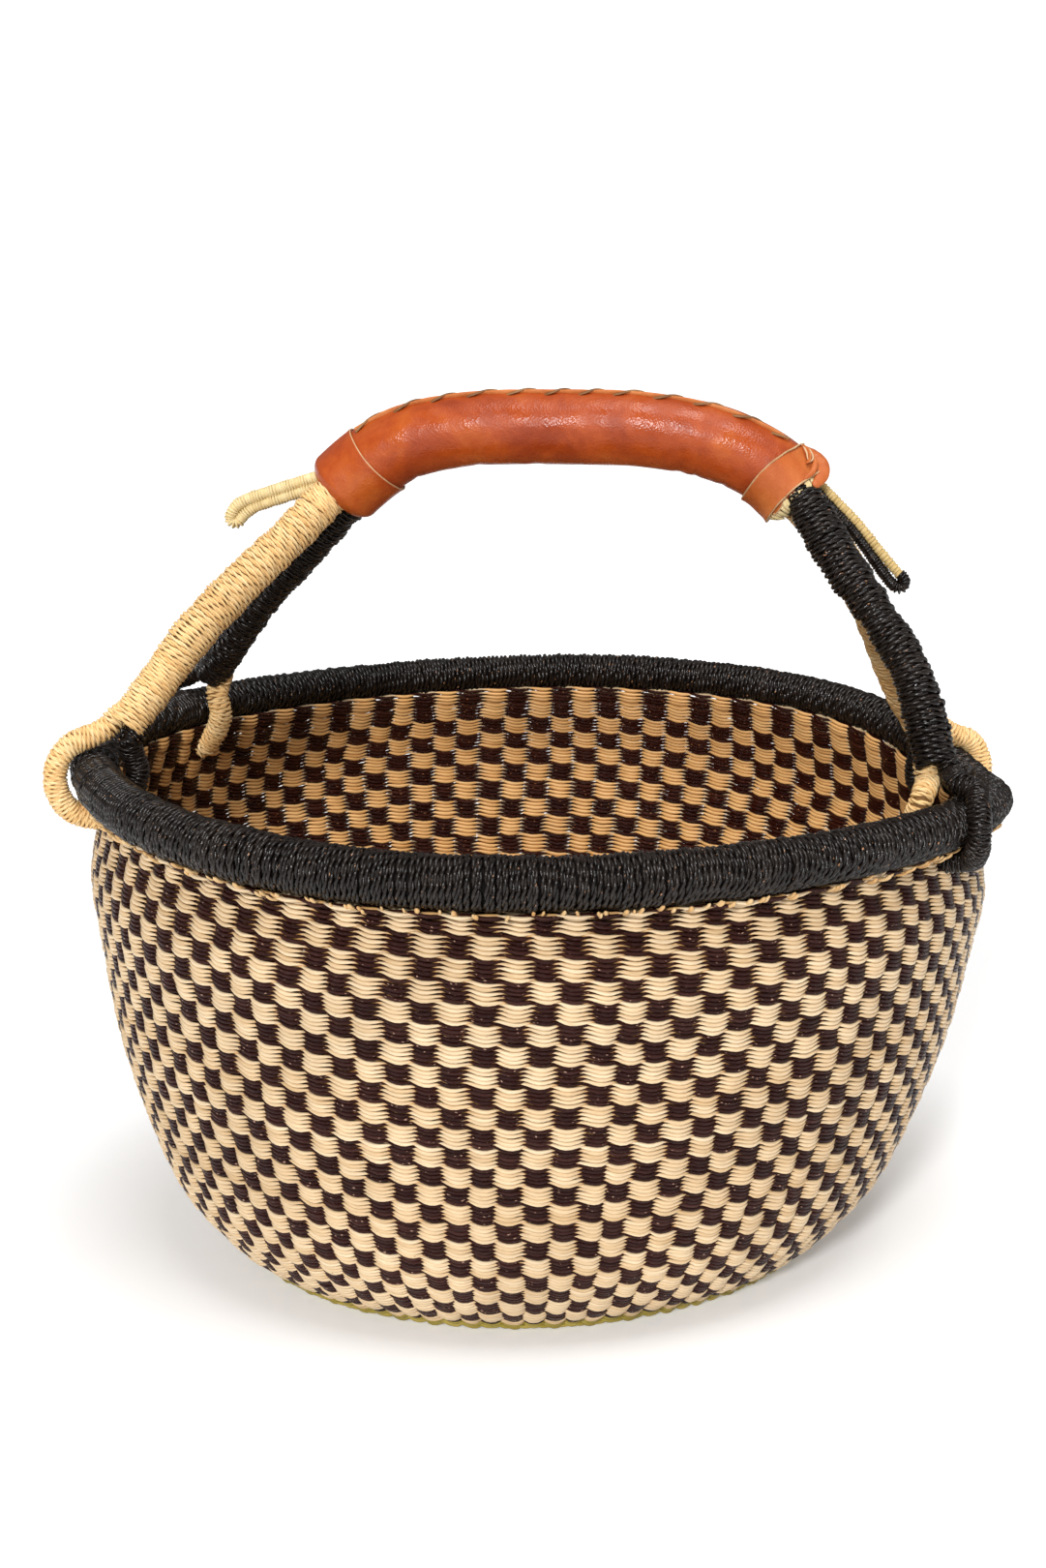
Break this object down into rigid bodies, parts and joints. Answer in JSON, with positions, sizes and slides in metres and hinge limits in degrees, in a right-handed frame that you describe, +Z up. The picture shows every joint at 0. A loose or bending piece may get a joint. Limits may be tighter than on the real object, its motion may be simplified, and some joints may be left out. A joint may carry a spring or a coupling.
{
  "type": "round market basket",
  "caption": "Round twined-grass market basket with a wrapped rim and an arched handle on wrapped legs, looped round the rim and joined in a leather grip.",
  "frame": {"origin": "on the floor below the centre of the rim, on the flat underside of the woven base", "axes": "+Z up, +X along the handle's span towards the end with the tied pale band, -Y towards the viewer of the picture"},
  "size_m": [0.4015, 0.4012, 0.3703],
  "materials": {
    "natural_straw": "dry natural grass",
    "yellow_weft": "dyed grass",
    "black_grass": "dyed grass, slight sheen",
    "stake_grass": "dry natural grass",
    "tan_leather": "satin",
    "pale_leather": "satin",
    "lace_leather": "satin"
  },
  "bodies": {
    "root": {"base_weave": "natural_straw", "base_dyed_ring": "yellow_weft", "wall_weave": "natural_straw", "stake_ring": "stake_grass", "rim_core": "stake_grass", "rim_wrap": "black_grass", "front_arch_core": "natural_straw", "rear_arch_core": "natural_straw", "front_left_leg_wrap": "natural_straw", "front_right_leg_wrap": "black_grass", "rear_left_leg_wrap": "black_grass", "rear_right_leg_wrap": "natural_straw", "front_left_outer_eye": "natural_straw", "front_left_inner_eye": "black_grass", "front_right_outer_eye": "black_grass", "front_right_inner_eye": "natural_straw", "rear_left_outer_eye": "black_grass", "rear_left_inner_eye": "natural_straw", "rear_right_outer_eye": "natural_straw", "rear_right_inner_eye": "black_grass", "grip_padding": "natural_straw", "grip_leather": "tan_leather", "left_collar": "tan_leather", "right_collar": "pale_leather", "band_knot": "pale_leather", "seam_lace": "lace_leather", "left_tail_loop": "natural_straw", "right_black_tail": "black_grass", "right_straw_tail": "natural_straw"}
  },
  "joints": []
}
